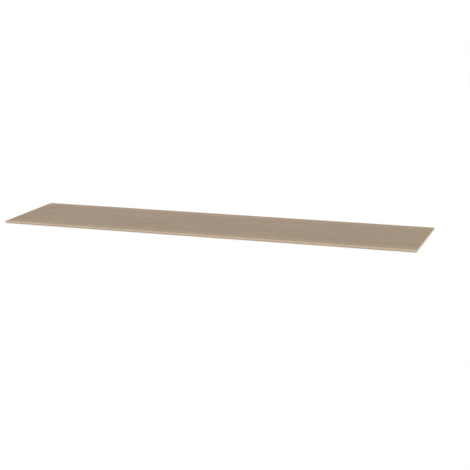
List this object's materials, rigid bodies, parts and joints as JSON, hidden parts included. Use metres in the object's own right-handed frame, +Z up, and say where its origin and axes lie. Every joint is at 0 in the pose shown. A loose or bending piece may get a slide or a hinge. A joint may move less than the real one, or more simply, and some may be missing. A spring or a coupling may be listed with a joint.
{
  "type": "drywall sheet",
  "caption": "Flat gypsum wallboard sheet: plaster core between paper liners, with half-round tapered long edges wrapped by the face liner and square sawn ends.",
  "frame": {"origin": "the middle of the flat face that the sheet lies on, at floor level", "axes": "+X along the sheet's length, +Y across its width, +Z up, out of its back liner"},
  "size_m": [2.6, 0.6, 0.0125],
  "materials": {
    "gypsum_plaster": "matte",
    "face_liner_paper": "matte",
    "back_liner_paper": "matte"
  },
  "bodies": {
    "root": {"gypsum_core": "gypsum_plaster", "face_liner": "face_liner_paper", "back_liner": "back_liner_paper"}
  },
  "joints": []
}
